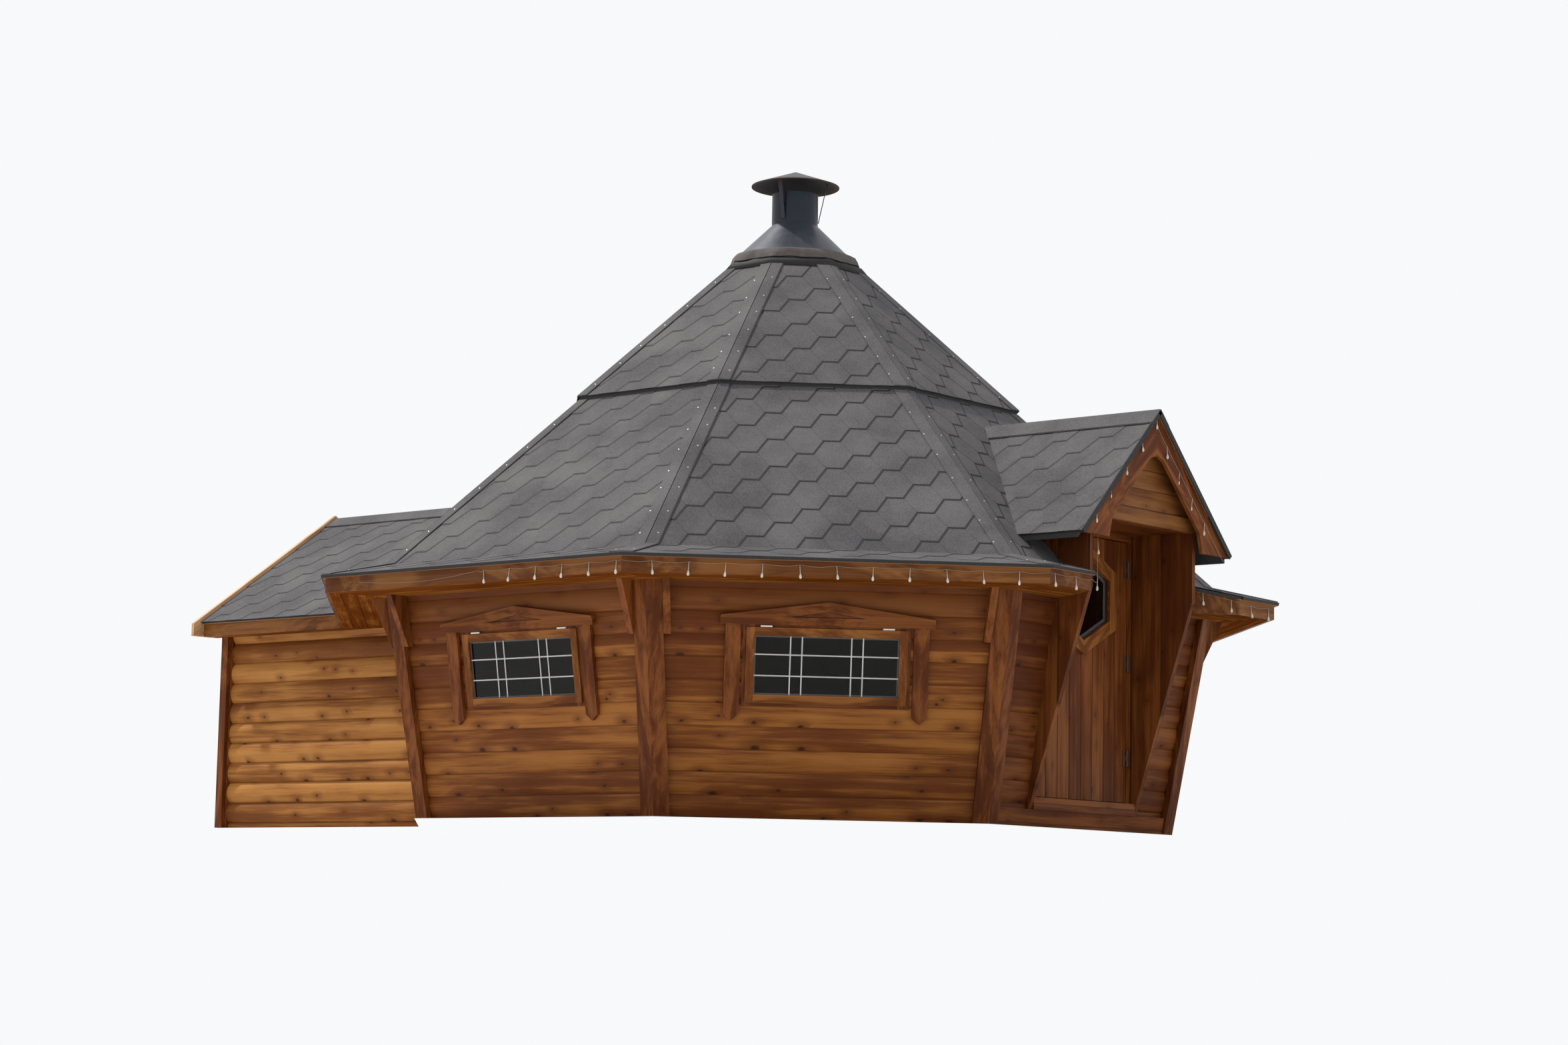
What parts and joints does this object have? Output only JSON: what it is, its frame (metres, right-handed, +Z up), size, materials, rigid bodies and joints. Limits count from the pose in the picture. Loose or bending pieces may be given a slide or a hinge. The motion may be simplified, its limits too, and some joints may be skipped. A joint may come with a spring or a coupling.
{
  "type": "octagonal log cabin",
  "caption": "Octagonal garden cabin of round-faced logs with leaning walls, a two-stage shingled roof, a gabled porch over the door and a gabled annex behind.",
  "frame": {"origin": "centre of the octagon at the foot of the middle floor bearer, on the ground", "axes": "+Z up, +Y from the door through the middle towards the annex, +X to the right seen from the door side"},
  "size_m": [5.58, 6.924, 4.1143],
  "materials": {
    "log_wood": "satin stain",
    "board_wood": "satin stain",
    "plain_wood": "bare planed",
    "roof_felt": "mineral granules, matte",
    "roof_edge": "matte",
    "chimney_metal": "weathered satin",
    "window_glass": "clear",
    "door_metal": "brushed"
  },
  "bodies": {
    "cabin": {"annex_back_wall": "log_wood", "annex_floor": "plain_wood", "annex_left_wall": "log_wood", "annex_right_wall": "log_wood", "annex_roof_left": "roof_felt", "annex_roof_right": "roof_felt", "annex_verge_boards": "board_wood", "back_left_wall": "log_wood", "back_right_wall": "log_wood", "chimney_cone": "chimney_metal", "chimney_pipe": "chimney_metal", "corner_boards": "board_wood", "door_frame": "board_wood", "door_plinth": "board_wood", "door_sill": "board_wood", "door_wall_left": "log_wood", "door_wall_right": "log_wood", "eave_brackets": "board_wood", "eave_fascia": "board_wood", "eave_soffit": "plain_wood", "floor": "plain_wood", "floor_bearers": "plain_wood", "frame_hinges": "door_metal", "front_left_wall": "log_wood", "front_right_wall": "log_wood", "left_wall": "log_wood", "porch_barge_boards": "board_wood", "porch_ceiling": "plain_wood", "porch_cheek_left": "board_wood", "porch_cheek_right": "board_wood", "porch_gable": "board_wood", "porch_roof_left": "roof_felt", "porch_roof_right": "roof_felt", "rain_hat": "chimney_metal", "right_wall": "log_wood", "roof_back": "roof_felt", "roof_back_left": "roof_felt", "roof_back_right": "roof_felt", "roof_collar": "roof_edge", "roof_front": "roof_felt", "roof_front_left": "roof_felt", "roof_front_right": "roof_felt", "roof_left": "roof_felt", "roof_right": "roof_felt", "upper_roof": "roof_felt", "window_casings": "board_wood", "window_glass": "window_glass", "window_linings": "board_wood", "window_sashes": "board_wood"},
    "door": {"door_leaf": "board_wood", "door_glass": "window_glass", "door_light_trim": "board_wood", "door_hinges": "door_metal", "door_handle": "door_metal"}
  },
  "joints": [
    {"name": "door_hinge", "type": "hinge", "parent": "cabin", "child": "door", "pos_m": [0.463, -2.198, 0.9], "axis": [0, 0, 1], "range_deg": [0, 88]}
  ]
}
